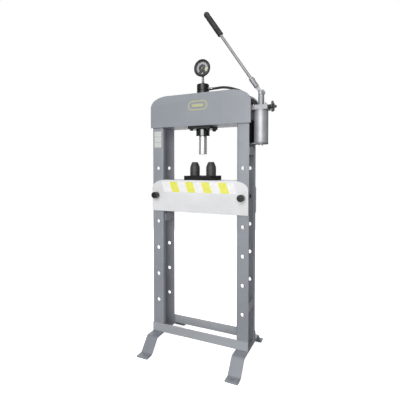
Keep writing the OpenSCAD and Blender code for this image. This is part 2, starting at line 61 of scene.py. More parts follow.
BAR_T = 0.008                   # sheet of the column bars
HOLE_R = 0.0105
HOLE_Z0 = 0.275
HOLE_PITCH = 0.160
HOLE_ROWS = 6
FOOT_T = 0.009
FOOT_BEND_Y = 0.140             # where the foot leaves the level stretch under the columns
FOOT_HEEL_Y = 0.202             # where it meets the floor
ANCHOR_Y = 0.225
ANCHOR_R = 0.006
GAUGE_Z = 1.656
DIAL_Y = -0.011                 # the dial's printed face
NEEDLE_REST = 225               # degrees clockwise from straight up
HOSE_R = 0.007
HOSE_ROUTE = [(0.062, 1.534), (0.078, 1.534), (0.095, 1.535), (0.113, 1.5355), (0.130, 1.5345),
    (0.145, 1.5325), (0.159, 1.5295), (0.173, 1.526), (0.187, 1.5215), (0.201, 1.5165), (0.213, 1.512),
    (0.224, 1.507), (0.237, 1.4995), (0.250, 1.4895), (0.264, 1.476), (0.277, 1.4615), (0.2897, 1.44824)]
PUMP_X = 0.347
PIVOT = Vector((PUMP_X, 0.0, 1.481))
LEVER_LEAN = math.radians(34)
LEVER_LEN = 0.596
BRACKET_BOLT_Y = 0.055
BRACKET_BOLT_Z = (1.235, 1.310)
VALVE_Z = 1.405
OUTER_JOINT = (0.3010, (-0.061, 0.041))     # x, and the two y, of a batten's welds at the bars' outer faces
INNER_JOINT = (0.2305, (-0.041, 0.061))     # the same at the inner faces
BATTENS = ((0.293, OUTER_JOINT), (0.755, INNER_JOINT), (1.146, OUTER_JOINT))    # lower edge of each batten

AMBIENT = 0.19                  # light from all round, where the camera's white backdrop is 1
FLOOR_BOUNCE = 0.45             # the floor's shade as the object's light meets it
FLOOR_GLOW = 0.85               # what the camera sees on top of it, so that the ground is white
KEY_POWER = 112
TOP_POWER = 12
FILL_POWER = 55                 # from behind, so that the back isn't lost in the dark


# ---------------------------------------------------------------- camera

def make_camera():
    """The viewing place and lens of the reference view: 3/4 from the right, at chest height."""
    data = bpy.data.cameras.new("camera")
    data.sensor_width = 36
    data.lens = 30.40
    data.shift_y = -0.055
    data.clip_start = 0.05
    camera = bpy.data.objects.new("camera", data)
    camera.location = (0.823, -1.813, 1.075)
    camera.rotation_euler = (math.radians(90 - 1.67), 0, math.radians(24.92))
    scene.collection.objects.link(camera)
    scene.camera = camera


make_camera()


# ---------------------------------------------------------------- materials

def add_node(tree, kind, **values):
    """A shader node with some of its properties or unlinked inputs set by name."""
    node = tree.nodes.new(kind)
    for key, value in values.items():
        if key in node.inputs:
            node.inputs[key].default_value = value
        else:
            setattr(node, key, value)
    return node


def blank(name, colour, rough, metal=0.0, **uniform):
    """A material whose even values sit on the Principled shader's own sockets."""
    mat = bpy.data.materials.new(name)
    mat.use_nodes = True
    shader = mat.node_tree.nodes["Principled BSDF"]
    shader.inputs["Base Color"].default_value = (*colour, 1)
    shader.inputs["Roughness"].default_value = rough
    shader.inputs["Metallic"].default_value = metal
    for key, value in uniform.items():
        shader.inputs[key.replace("_", " ")].default_value = value
    mat.diffuse_color = (*colour, 1)
    return mat, mat.node_tree, shader


def coordinates(tree, stretch=(1, 1, 1)):
    """Object coordinates, which are metres in the row frame, stretched."""
    where = tree.nodes.new("ShaderNodeTexCoord")
    mapping = add_node(tree, "ShaderNodeMapping", Scale=stretch)
    tree.links.new(where.outputs["Object"], mapping.inputs["Vector"])
    return mapping.outputs["Vector"]


def noise(tree, vector, scale, detail=3.0, rough=0.55):
    node = add_node(tree, "ShaderNodeTexNoise", Scale=scale, Detail=detail, Roughness=rough)
    tree.links.new(vector, node.inputs["Vector"])
    return node.outputs["Fac"]


def shades(tree, factor, colours, low=0.35, high=0.65):
    """A blend from the first colour to the last as factor goes from low to high."""
    ramp = tree.nodes.new("ShaderNodeValToRGB")
    ends = ramp.color_ramp.elements
    ends[0].position, ends[1].position = low, high
    ends[0].color, ends[1].color = (*colours[0], 1), (*colours[-1], 1)
    tree.links.new(factor, ramp.inputs["Fac"])
    return ramp.outputs["Color"]


def ranged(tree, factor, low, high):
    node = add_node(tree, "ShaderNodeMapRange", **{"To Min": low, "To Max": high})
    tree.links.new(factor, node.inputs["Value"])
    return node.outputs["Result"]


def mixed(tree, factor, a, b):
    """Colour a turning into colour b; each is a socket or a plain colour."""
    node = add_node(tree, "ShaderNodeMix", data_type="RGBA")
    tree.links.new(factor, node.inputs["Factor"])
    for socket, value in ((node.inputs[6], a), (node.inputs[7], b)):
        if isinstance(value, tuple):
            socket.default_value = (*value, 1)
        else:
            tree.links.new(value, socket)
    return node.outputs[2]


def bump(tree, shader, height, strength, distance):
    node = add_node(tree, "ShaderNodeBump", Strength=strength, Distance=distance)
    tree.links.new(height, node.inputs["Height"])
    tree.links.new(node.outputs["Normal"], shader.inputs["Normal"])


def edge_mask(tree, radius, low, high):
    """1 along outside and inside edges, 0 on flats, from how far the rounded normal turns away."""
    rounded = add_node(tree, "ShaderNodeBevel", Radius=radius, samples=6)
    plain = tree.nodes.new("ShaderNodeNewGeometry")
    dot = add_node(tree, "ShaderNodeVectorMath", operation="DOT_PRODUCT")
    tree.links.new(rounded.outputs["Normal"], dot.inputs[0])
    tree.links.new(plain.outputs["True Normal"], dot.inputs[1])
    node = add_node(tree, "ShaderNodeMapRange", **{"From Min": high, "From Max": low})
    tree.links.new(dot.outputs["Value"], node.inputs["Value"])
    return node.outputs["Result"]


def scaled(colour, k):
    return tuple(min(1.0, c * k) for c in colour)


def paint(name, colour, rough=0.42, wear=0.35, peel=0.10):
    """Sprayed enamel: cloudy shade, orange peel, handling haze and slightly rubbed edges."""
    mat, tree, shader = blank(name, colour, rough, IOR=1.5, Coat_Weight=0.12, Coat_Roughness=0.25)
    at = coordinates(tree)
    cloud = noise(tree, at, 5.0, 4)
    body = shades(tree, cloud, [scaled(colour, 0.94), scaled(colour, 1.06)])
    specks = noise(tree, at, 420.0, 2)
    body = mixed(tree, ranged(tree, specks, 0.0, 0.10), body, scaled(colour, 1.3))
    patchy = add_node(tree, "ShaderNodeMath", operation="MULTIPLY")
    tree.links.new(edge_mask(tree, 0.0012, 0.75, 0.995), patchy.inputs[0])
    tree.links.new(shades(tree, noise(tree, at, 60.0, 5, 0.7), [(0, 0, 0), (wear,) * 3], 0.4, 0.62),
        patchy.inputs[1])
    body = mixed(tree, patchy.outputs["Value"], body, scaled(colour, 1.7))
    tree.links.new(body, shader.inputs["Base Color"])
    tree.links.new(ranged(tree, noise(tree, at, 14.0, 5, 0.65), rough - 0.09, rough + 0.11),
        shader.inputs["Roughness"])
    bump(tree, shader, noise(tree, at, 620.0, 3, 0.6), peel, 0.0004)
    return mat


def steel(name, colour, rough, stretch=(1, 1, 1), grain=700.0, metal=1.0, depth=0.12):
    """Turned, drawn or plated metal: fine lines across the stretch, with cloudy gloss."""
    mat, tree, shader = blank(name, colour, rough, metal, IOR=2.0)
    lines = noise(tree, coordinates(tree, stretch), grain, 3, 0.6)
    cloud = noise(tree, coordinates(tree), 22.0, 4)
    body = shades(tree, cloud, [scaled(colour, 0.88), scaled(colour, 1.06)])
    body = mixed(tree, ranged(tree, lines, 0.0, 0.16), body, scaled(colour, 0.55))
    tree.links.new(body, shader.inputs["Base Color"])
    tree.links.new(ranged(tree, lines, max(0.02, rough * 0.65), rough * 1.35), shader.inputs["Roughness"])
    bump(tree, shader, lines, depth, 0.0003)
    return mat


def blackened(name, colour, rough, grain=260.0, depth=0.25, gloss=0.5):
    """Black-coated or rolled steel: matt, with faint scale and brighter rubbed edges."""
    mat, tree, shader = blank(name, colour, rough, 0.0, IOR=1.55, Specular_IOR_Level=gloss)
    at = coordinates(tree)
    cloud = noise(tree, at, 18.0, 6, 0.65)
    body = shades(tree, cloud, [scaled(colour, 0.7), scaled(colour, 1.5)])
    body = mixed(tree, edge_mask(tree, 0.0010, 0.70, 0.99), body, scaled(colour, 3.2))
    tree.links.new(body, shader.inputs["Base Color"])
    tree.links.new(ranged(tree, cloud, rough - 0.12, rough + 0.12), shader.inputs["Roughness"])
    bump(tree, shader, noise(tree, at, grain, 4, 0.6), depth, 0.0003)
    return mat


def rubber(name, colour, rough=0.6, grain=900.0):
    """Moulded rubber: fine matt grain with a dusty bloom."""
    mat, tree, shader = blank(name, colour, rough, 0.0, IOR=1.5, Sheen_Weight=0.08)
    at = coordinates(tree)
    bloom = noise(tree, at, 35.0, 4)
    tree.links.new(shades(tree, bloom, [scaled(colour, 0.8), scaled(colour, 1.6)]),
        shader.inputs["Base Color"])
    tree.links.new(ranged(tree, bloom, rough - 0.08, rough + 0.1), shader.inputs["Roughness"])
    bump(tree, shader, noise(tree, at, grain, 2, 0.5), 0.2, 0.0003)
    return mat


def printed(name, colour, rough=0.45):
    """Screen print or vinyl: flat ink with a trace of unevenness."""
    mat, tree, shader = blank(name, colour, rough, 0.0, Coat_Weight=0.15, Coat_Roughness=0.2)
    at = coordinates(tree)
    uneven = noise(tree, at, 70.0, 3)
    tree.links.new(shades(tree, uneven, [scaled(colour, 0.95), scaled(colour, 1.03)]),
        shader.inputs["Base Color"])
    bump(tree, shader, noise(tree, at, 500.0, 2), 0.04, 0.0002)
    return mat


def lens(name):
    """Clear flat window of the gauge."""
    mat, tree, shader = blank(name, (0.95, 0.97, 0.98), 0.04, 0.0, Alpha=0.03, IOR=1.5)
    smear = noise(tree, coordinates(tree), 40.0, 3)
    tree.links.new(ranged(tree, smear, 0.02, 0.09), shader.inputs["Roughness"])
    mat.surface_render_method = "BLENDED"
    return mat


FRAME_PAINT = paint("frame_grey", (0.300, 0.322, 0.355))
BED_PAINT = paint("bed_light_grey", (0.80, 0.805, 0.82), rough=0.38, wear=0.2, peel=0.08)
# The frame grey made lighter for the battens and rails: the extra light these parts catch is painted into
# their colour (painted light).
LIT_FRAME_PAINT = paint("frame_grey_painted_light", (0.42, 0.44, 0.47))
BLACK = blackened("black_coating", (0.012, 0.012, 0.014), 0.36)
# Black coating made darker still for the pump bracket: the deep shade it sits in is painted into its colour
# (painted shade). It is also rougher, with little gloss.
SHADED_MATT_BLACK = blackened("matt_black_painted_shade", (0.0015, 0.002, 0.004), 0.75, depth=0.1, gloss=0.1)
PLATE_BLACK = blackened("plate_black", (0.007, 0.007, 0.008), 0.55, gloss=0.25)
GLAND_BLACK = steel("polished_black", (0.155, 0.156, 0.160), 0.12, (1, 1, 0.05), 900.0, depth=0.03)
TOOL = blackened("tool_steel", (0.045, 0.045, 0.048), 0.5, 140.0, 0.4)
CHROME = steel("hard_chrome", (0.84, 0.85, 0.86), 0.26, (1, 1, 0.05), 900.0, 0.6, 0.03)
PLATED = steel("zinc_plated", (0.60, 0.61, 0.63), 0.30)
TURNED = steel("turned_steel", (0.55, 0.56, 0.57), 0.26, (0.06, 0.06, 1), 1400.0)
STEEL_DARK = steel("dark_steel", (0.30, 0.30, 0.31), 0.34)
SPRING = steel("spring_wire", (0.5, 0.5, 0.52), 0.28)
TANK_SKIN = steel("satin_tube", (0.50, 0.51, 0.54), 0.46, (1, 1, 0.03), 800.0, 0.35, 0.08)
LEVER_STEEL = steel("satin_rod", (0.36, 0.36, 0.36), 0.45, (1, 1, 0.05), 500.0, 0.3, 0.05)
SHELF_GREY = steel("shelf_grey", (0.17, 0.175, 0.185), 0.50, (1, 1, 1), 240.0, 0.2, 0.15)
SILVER = steel("cast_silver", (0.345, 0.355, 0.375), 0.46, (1, 1, 1), 240.0, 0.25, 0.2)
RUBBER = rubber("black_rubber", (0.020, 0.020, 0.021))
SEAL = rubber("nitrile", (0.03, 0.03, 0.03), 0.4)
GRIP = rubber("grip_rubber", (0.024, 0.024, 0.026), 0.5)
GAUGE_BLACK = printed("gauge_black", (0.014, 0.014, 0.016), 0.28)
KNOB = rubber("knob_plastic", (0.055, 0.056, 0.060), 0.42, 500.0)
PRINT_DIM = printed("dim_print", (0.16, 0.165, 0.17))
PRINT_BLACK = printed("black_print", (0.02, 0.02, 0.022))
PRINT_GREY = printed("grey_print", (0.42, 0.43, 0.44))
PRINT_CREAM = printed("cream_print", (0.64, 0.63, 0.42))
NEEDLE = printed("needle_grey", (0.24, 0.24, 0.235))
VINYL_WHITE = printed("white_vinyl", (0.95, 0.95, 0.95), 0.35)
VINYL_YELLOW = printed("yellow_vinyl", (0.90, 0.89, 0.14), 0.35)
VINYL_LABEL = printed("label_vinyl", (0.66, 0.68, 0.66), 0.4)
LABEL_GREY = printed("label_grey", (0.34, 0.36, 0.35), 0.4)
BADGE_YELLOW = printed("badge_yellow", (0.52, 0.53, 0.26), 0.4)
LENS = lens("lens")


# ---------------------------------------------------------------- mesh helpers

def link_mesh(name, mesh):
    obj = bpy.data.objects.new(name, mesh)
    scene.collection.objects.link(obj)
    return obj


def from_bmesh(name, bm):
    mesh = bpy.data.meshes.new(name)
    bm.to_mesh(mesh)
    bm.free()
    return link_mesh(name, mesh)


def solid_from(name, points, faces):
    """A closed mesh with its faces turned outwards."""
    mesh = bpy.data.meshes.new(name)
    mesh.from_pydata(points, [], faces)
    bm = bmesh.new()
    bm.from_mesh(mesh)
    bpy.data.meshes.remove(mesh)
    bmesh.ops.recalc_face_normals(bm, faces=bm.faces)
    return from_bmesh(name, bm)


def joined(name, parts):
    """Several objects made into one mesh."""
    bm = bmesh.new()
    for part in parts:
        mesh = part.data.copy()
        mesh.transform(part.matrix_world)
        bm.from_mesh(mesh)
        bpy.data.meshes.remove(mesh)
        bpy.data.objects.remove(part)
    return from_bmesh(name, bm)


def carve(obj, tool, operation="DIFFERENCE"):
    """Cuts tool out of obj, or adds it, and removes tool."""
    modifier = obj.modifiers.new("carve", "BOOLEAN")
    modifier.operation = operation
    modifier.solver = "EXACT"
    modifier.object = tool
    depsgraph = bpy.context.evaluated_depsgraph_get()
    mesh = bpy.data.meshes.new_from_object(obj.evaluated_get(depsgraph))
    obj.modifiers.clear()
    obj.data = mesh
    bpy.data.objects.remove(tool)
    return obj


def dress(obj, body, material, replaces=(), sharp=38):
    """Finish, shading and body of a new piece."""
    obj.data.materials.clear()
    obj.data.materials.append(material)
    obj.data.shade_smooth()
    obj.data.set_sharp_from_angle(angle=math.radians(sharp))
    weighted = obj.modifiers.new("weighted", "WEIGHTED_NORMAL")
    weighted.keep_sharp = True
    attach(obj, body)
    if replaces:
        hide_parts(*replaces)
    return obj


def keep(node, material, edge=0.0008):
    """A CAD node that stays: its material, and eased edges where edge is above 0."""
    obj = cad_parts[node]
    obj.data.materials.clear()
    obj.data.materials.append(material)
    if edge:
        weld = obj.modifiers.new("weld", "WELD")
        weld.merge_threshold = 0.00002
        flat = obj.modifiers.new("flat", "DECIMATE")
        flat.decimate_type = "DISSOLVE"
        flat.angle_limit = math.radians(0.5)
        bevel = obj.modifiers.new("ease", "BEVEL")
        bevel.width = edge
        bevel.segments = 3
        bevel.limit_method = "ANGLE"
        bevel.angle_limit = math.radians(35)
        weighted = obj.modifiers.new("weighted", "WEIGHTED_NORMAL")
        weighted.keep_sharp = True


def eased(profile, size):
    """The profile with each corner cut by a short curve; points on the axis stay."""
    out = []
    for i, (x, y) in enumerate(profile):
        here = Vector((x, y))
        before, after = Vector(profile[i - 1]), Vector(profile[(i + 1) % len(profile)])
        if x < 1e-9 or size <= 0:
            out.append((x, y))
            continue
        a, b = before - here, after - here
        start = here + a.normalized() * min(size, a.length * 0.4)
        end = here + b.normalized() * min(size, b.length * 0.4)
        for t in (0.0, 0.33, 0.67, 1.0):
            out.append(tuple((1 - t) ** 2 * start + 2 * t * (1 - t) * here + t * t * end))
    return out


def turn_to(direction):
    """Matrix that takes +Z to a direction."""
    return Vector(direction).to_track_quat("Z", "Y").to_matrix().to_4x4()


def turned(name, profile, at=(0, 0, 0), along=(0, 0, 1), ease=0.0006, sides=96, radius=None):
    """A lathe shape: profile is a closed outline of (radius, height) points, from at along a direction.

    radius, if given, is a function of (radius, height, angle) that returns the radius there.
    """
    profile = eased(profile, ease)
    points, rings = [], []
    for r, h in profile:
        if r < 1e-9:
            points.append((0, 0, h))
            rings.append([len(points) - 1] * sides)
            continue
        ring = []
        for k in range(sides):
            angle = 2 * math.pi * k / sides
            rr = radius(r, h, angle) if radius else r
            points.append((rr * math.cos(angle), rr * math.sin(angle), h))
            ring.append(len(points) - 1)
        rings.append(ring)
    faces = []
    for i, ring in enumerate(rings):
        after = rings[(i + 1) % len(rings)]
        for k in range(sides):
            n = (k + 1) % sides
            corners = []
            for c in (ring[k], ring[n], after[n], after[k]):
                if c not in corners:
                    corners.append(c)
            if len(corners) > 2:
                faces.append(corners)
    obj = solid_from(name, points, faces)
    obj.data.transform(Matrix.Translation(Vector(at)) @ turn_to(along))
    return obj


def plate_mesh(outline, holes, depth, edge, hole_sides=48):
    """A flat plate in XY, centred on z = 0, with rounded edges and drilled holes (x, y, radius)."""
    curve = bpy.data.curves.new("outline", "CURVE")
    curve.dimensions = "2D"
    curve.fill_mode = "BOTH"
    curve.extrude = depth / 2 - edge
    curve.bevel_depth = edge
    curve.bevel_resolution = 2
    curve.offset = -edge
    angles = [2 * math.pi * k / hole_sides for k in range(hole_sides)]
    loops = [outline] + [[(x + r * math.cos(a), y + r * math.sin(a)) for a in angles] for x, y, r in holes]
    for loop in loops:
        spline = curve.splines.new("POLY")
        spline.points.add(len(loop) - 1)
        for point, (x, y) in zip(spline.points, loop):
            point.co = (x, y, 0, 1)
        spline.use_cyclic_u = True
    holder = bpy.data.objects.new("outline", curve)
    mesh = bpy.data.meshes.new_from_object(holder)
    bpy.data.objects.remove(holder)
    bpy.data.curves.remove(curve)
    bm = bmesh.new()
    bm.from_mesh(mesh)
    bpy.data.meshes.remove(mesh)
    bmesh.ops.remove_doubles(bm, verts=bm.verts, dist=1e-6)
    bmesh.ops.recalc_face_normals(bm, faces=bm.faces)
    return bm


def bent_line(corners, radius, steps=8):
    """Stations (distance, place, sideways) along a line with rounded corners, in 2D."""
    corners = [Vector(c) for c in corners]
    stations = []

    def left_of(v):
        return Vector((-v.y, v.x))

    def add(place, side, step):
        stations.append((stations[-1][0] + step if stations else 0.0, place, side))

    here = corners[0]
    add(here, left_of((corners[1] - here).normalized()), 0)
    for i in range(1, len(corners) - 1):
        into = (corners[i] - corners[i - 1]).normalized()
        out = (corners[i + 1] - corners[i]).normalized()
        turn = into.angle_signed(out)
        sign = -1 if turn > 0 else 1            # angle_signed counts clockwise turns as positive
        size = abs(turn)
        start = corners[i] - into * radius * math.tan(size / 2)
        centre = start + left_of(into) * radius * sign
        add(start, left_of(into), (start - here).length)
        for k in range(1, steps + 1):
            a = sign * size * k / steps
            side = Matrix.Rotation(a, 2) @ left_of(into)
            add(centre - side * radius * sign, side, radius * size / steps)
        here = stations[-1][1]
    add(corners[-1], left_of((corners[-1] - corners[-2]).normalized()), (corners[-1] - here).length)
    return stations


def laid_along(bm, stations, place):
    """Bends a flat plate, whose x is the distance along the stations; place says where a point goes."""
    for distance, _, _ in stations[1:-1]:
        geometry = bm.verts[:] + bm.edges[:] + bm.faces[:]
        bmesh.ops.bisect_plane(bm, geom=geometry, dist=1e-7, plane_co=(distance, 0, 0), plane_no=(1, 0, 0))
    for v in bm.verts:
        s = v.co.x
        i = 0
        while i < len(stations) - 2 and s > stations[i + 1][0] + 1e-7:
            i += 1
        (s0, p0, n0), (s1, p1, n1) = stations[i], stations[i + 1]
        t = (s - s0) / (s1 - s0)
        flat = p0.lerp(p1, t) + n0.lerp(n1, min(max(t, 0), 1)).normalized() * v.co.z
        v.co = place(flat, v.co.y)
    bmesh.ops.recalc_face_normals(bm, faces=bm.faces)
    return bm


def tube(name, path, radius, sides=24, up=(0, 1, 0), ends=True):
    """A round tube along points; radius is a number or a function of the distance along."""
    path = [Vector(p) for p in path]
    points, faces, along = [], [], 0.0
    for i, here in enumerate(path):
        if i:
            along += (here - path[i - 1]).length
        ahead = (path[min(i + 1, len(path) - 1)] - path[max(i - 1, 0)]).normalized()
        side = ahead.cross(Vector(up)).normalized()
        other = side.cross(ahead)
        r = radius(along) if callable(radius) else radius
        for k in range(sides):
            a = 2 * math.pi * k / sides
            points.append(here + side * math.cos(a) * r + other * math.sin(a) * r)
    for i in range(len(path) - 1):
        for k in range(sides):
            n = (k + 1) % sides
            faces.append((i * sides + k, i * sides + n, (i + 1) * sides + n, (i + 1) * sides + k))
    if ends:
        faces.append(tuple(range(sides)))
        faces.append(tuple((len(path) - 1) * sides + k for k in range(sides)))
    return solid_from(name, points, faces)


def coil(name, centre, outer, wire, z0, z1, turns, steps=32):
    """A round wire wound along Z between two heights, wire surface to wire surface."""
    r, count = outer - wire, turns * steps
    rise = z1 - z0 - 2 * wire
    path = []
    for k in range(count + 1):
        a = 2 * math.pi * k / steps
        path.append((centre[0] + r * math.cos(a), centre[1] + r * math.sin(a), z0 + wire + rise * k / count))
    return tube(name, path, wire, 12, (0, 0, 1))


def smooth_path(points, steps):
    """More points along the curve that runs through the given ones."""
    points = [Vector(p) for p in points]
    out = []
    for i in range(len(points) - 1):
        a, b = points[max(i - 1, 0)], points[i]
        c, d = points[i + 1], points[min(i + 2, len(points) - 1)]
        for k in range(steps):
            t = k / steps
            out.append(0.5 * ((2 * b) + (c - a) * t + (2 * a - 5 * b + 4 * c - d) * t * t
                + (3 * b - a - 3 * c + d) * t ** 3))
    return out + [points[-1]]


def rectangle(low, high):
    """Corners of a rectangle: a plate's outline, or the profile of a plain disc, rod or ring."""
    return [(low[0], low[1]), (high[0], low[1]), (high[0], high[1]), (low[0], high[1])]


def upright(node):
    """Foot, radius and height of a node that stands round and upright."""
    low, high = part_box(node)
    return low.z, (high.x - low.x) / 2, high.z - low.z


def hex_head(across, height, at, along, washer=None):
    """A bolt head with a chamfered crown; across is from centre to corner, washer (radius, thickness)."""
    apothem = across * math.cos(math.pi / 6)

    def flats(r, h, angle):
        if r < across * 0.9:
            return r
        return apothem / math.cos((angle % (math.pi / 3)) - math.pi / 6) * (r / across)

    crown = height * 0.16
    profile = [(0, 0), (across, 0), (across, height - crown), (apothem * 0.96, height), (0, height)]
    parts = [turned("head", profile, at, along, 0.0003, 72, flats)]
    if washer:
        parts.append(turned("washer", rectangle((0, -washer[1]), (washer[0], 0)), at, along, 0.0003, 64))
    return parts


def bead(lines, radius=0.0030, seed=1):
    """Weld beads along straight lines (start, end): a rippled, slightly uneven round."""
    rng = random.Random(seed)
    parts = []
    for start, end in lines:
        start, end = Vector(start), Vector(end)
        length = (end - start).length
        steps = max(6, int(length / 0.0012))
        phase, ripple = rng.uniform(0, 6), rng.uniform(0.0038, 0.0046)
        sway = [rng.uniform(-1, 1) for _ in range(steps // 6 + 3)]

        def size(s, phase=phase, ripple=ripple, sway=sway, length=length):
            j = s / length * (len(sway) - 2)
            slow = sway[int(j)] * (1 - j % 1) + sway[int(j) + 1] * (j % 1)
            round_end = min(1.0, math.sqrt(max(0.02, min(s, length - s) / radius)))
            saw = ((s / ripple + phase) % 1.0)
            return radius * round_end * (1 + 0.09 * (saw - 0.5) + 0.07 * slow)

        up = (0, 0, 1) if abs((end - start).normalized().z) < 0.9 else (0, 1, 0)
        path = [start.lerp(end, k / steps) for k in range(steps + 1)]
        parts.append(tube("bead", path, size, 10, up))
    return parts


# ---------------------------------------------------------------- hose, built first

def make_hose():
    """Short stiff pressure hose, arched from the cylinder's cap over the head and down to the pump."""
    route = smooth_path([(x, 0, z) for x, z in HOSE_ROUTE], 8)
    length = sum((b - a).length for a, b in zip(route, route[1:]))
    obj = dress(tube("pressure_hose", route, HOSE_R, 32), "frame", RUBBER, ["hose"])
    tuple(route[0])
    [tuple(p) for p in route]


make_hose()


# ---------------------------------------------------------------- frame weldment

def column(side, rear):
    """One column bar: sheet folded at one edge, with a row of pin holes."""
    node = f"column_{'rear' if rear else 'front'}_{'right' if side > 0 else 'left'}"
    low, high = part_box("column_front_right")
    middle = (low.x + high.x) / 2
    mid = BAR_T / 2
    stations = bent_line([(high.x, low.y + mid), (low.x + mid, low.y + mid), (low.x + mid, high.y)], 0.008)
    wide, tall = stations[-1][0], high.z - low.z
    holes = [(high.x - middle, HOLE_Z0 + i * HOLE_PITCH - low.z, HOLE_R) for i in range(HOLE_ROWS)]
    if rear and side > 0:
        edge_to_bolt = high.y + BRACKET_BOLT_Y
        holes += [(wide - edge_to_bolt, z - low.z, 0.0052) for z in BRACKET_BOLT_Z]
    bm = plate_mesh(rectangle((0, 0), (wide, tall)), holes, BAR_T, 0.0010)

    def place(flat, across):
        x, y = (2 * middle - flat.x, -flat.y) if rear else (flat.x, flat.y)
        return Vector((side * x, y, low.z + across))

    dress(from_bmesh(f"bar_{node[7:]}", laid_along(bm, stations, place)), "frame", FRAME_PAINT,
        [node])


def foot(side):
    """Bent flat bar with an anchor hole in each toe."""
    node = f"foot_{'right' if side > 0 else 'left'}"
    low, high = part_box("foot_right")
    mid = FOOT_T / 2
    top = high.z - mid
    stations = bent_line([(low.y, mid), (-FOOT_HEEL_Y, mid), (-FOOT_BEND_Y, top), (FOOT_BEND_Y, top),
        (FOOT_HEEL_Y, mid), (high.y, mid)], 0.019)
    length, width = stations[-1][0], high.x - low.x
    inset = high.y - ANCHOR_Y
    holes = [(s, width / 2, ANCHOR_R) for s in (inset, length - inset)]
    bm = plate_mesh(rectangle((0, 0), (length, width)), holes, FOOT_T, 0.0012)
    bm = laid_along(bm, stations, lambda flat, across: Vector((side * (low.x + across), flat.x, flat.y)))
    dress(from_bmesh(f"bent_{node}", bm), "frame", FRAME_PAINT, [node])


def frame_plates():
    for node in ("head_plate_front", "head_plate_rear"):
        keep(node, FRAME_PAINT, 0.0014)
    for node in ("head_web_left", "head_web_right", "head_base_plate"):
        keep(node, FRAME_PAINT, 0.0010)
    # Battens and rails get the lightened frame grey, which paints in the light they catch (painted light).
    for node in ("rail_front", "rail_rear", "battens_left", "battens_right"):
        keep(node, LIT_FRAME_PAINT, 0.0010)
    keep("cylinder_seat_plate", BLACK, 0.0012)


def frame_welds():
    """Beads where battens, rails, feet and head plates meet the column bars."""
    low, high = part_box("column_front_right")
    rear = -low.y
    rail_low, rail_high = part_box("rail_front")
    head_low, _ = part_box("head_plate_front")
    bead_start, bead_end = 0.002, 0.043         # of a batten's bead, above its lower edge

    def level(side, y, z, inset=0.004):
        """A level line across a bar."""
        return (side * (low.x + inset), y, z), (side * (high.x - 0.004), y, z)

    for side, name in ((1, "right"), (-1, "left")):
        lines = [level(side, face * rear, z)
                 for face in (-1, 1) for z in (rail_low.z, rail_high.z, head_low.z)]
        for z, (x, joint_y) in BATTENS:
            lines += [((side * x, y, z + bead_start), (side * x, y, z + bead_end)) for y in joint_y]
        lines.append(((side * high.x, -rear + 0.006, low.z), (side * high.x, -rear + 0.001, low.z)))
        lines += [level(side, face * rear, low.z, 0.006) for face in (-1, 1)]
        dress(joined(f"weld_beads_{name}", bead(lines, seed=3 if side > 0 else 4)), "frame",
            FRAME_PAINT, sharp=60)


for across in (1, -1):
    column(across, False)
    column(across, True)
    foot(across)
frame_plates()
frame_welds()


# ---------------------------------------------------------------- bed and tooling

def bed_pin(side):
    """Turned pin with a black knob that stops against the front bed plate."""
    name = f"bed_pin_{'right' if side > 0 else 'left'}"
    low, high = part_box(name)
    x, z = (low.x + high.x) / 2, (low.z + high.z) / 2
    knob_r, knob_l, collar_l, pin_r = (high.x - low.x) / 2, 0.034, 0.0057, 0.010
    length = high.y - low.y
    profile = [(0, 0), (0.0085, 0), (0.0095, 0.0012), (knob_r - 0.002, 0.0012), (knob_r, 0.0032),
        (knob_r, knob_l - 0.002), (knob_r - 0.002, knob_l), (knob_r - 0.0025, knob_l),
        (knob_r - 0.0025, knob_l + collar_l), (pin_r, knob_l + collar_l), (pin_r, length - 0.002),
        (pin_r - 0.002, length), (0, length)]
    dress(turned(f"{name}_turned", profile, (x, low.y, z), (0, 1, 0), 0.0007), name, BLACK,
        [name])


def tooling():
    keep("press_plate", PLATE_BLACK, 0.0016)
    low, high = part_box("support_block_right")
    r = (high.x - low.x) / 2
    tall, shoulder, top_r = high.z - low.z, 0.044, 0.016
    profile = [(0, 0), (r - 0.001, 0), (r, 0.001), (r, shoulder)]
    for i in range(1, 13):
        t = i / 12
        profile.append((r - (r - top_r) * t ** 1.6, shoulder + (tall - shoulder) * t))
    profile.append((0, tall))
    for side, name in ((1, "support_block_right"), (-1, "support_block_left")):
        at = (side * (low.x + high.x) / 2, 0, low.z)
        dress(turned(f"{name}_turned", profile, at, ease=0.0009), name, TOOL, [name])


def hazard_stripes():
    """White vinyl band with four slanting yellow bars along the top of the front bed plate."""
    low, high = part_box("bed_plate_front")
    y, thin = low.y, 0.0004
    top, bottom = high.z - 0.011, high.z - 0.071
    half = 0.237

    def sheet(name, corners, proud, material):
        points = [(x, y - proud + d, z) for d in (0.0, thin) for x, z in corners]
        n = len(corners)
        faces = [tuple(range(n)), tuple(range(n, 2 * n))]
        faces += [(k, (k + 1) % n, (k + 1) % n + n, k + n) for k in range(n)]
        return dress(solid_from(name, points, faces), "frame", material)

    slant = 0.020
    sheet("hazard_band", [(-half, top), (half - slant, top), (half, bottom), (-half + slant, bottom)], thin,
        VINYL_WHITE)
    for i in range(4):
        x = 0.006 + (i - 1.5) * 0.102 - (0.049 + slant) / 2
        sheet(f"hazard_bar_{i + 1}", [(x, top), (x + 0.049, top), (x + 0.049 + slant, bottom),
            (x + slant, bottom)], 2 * thin, VINYL_YELLOW)


for node in ("bed_plate_front", "bed_plate_rear"):
    keep(node, BED_PAINT, 0.0014)
for node in ("bed_crossbar_left", "bed_crossbar_right"):
    keep(node, BED_PAINT, 0.0010)
bed_pin(1)
bed_pin(-1)
tooling()
hazard_stripes()


# ---------------------------------------------------------------- cylinder and ram

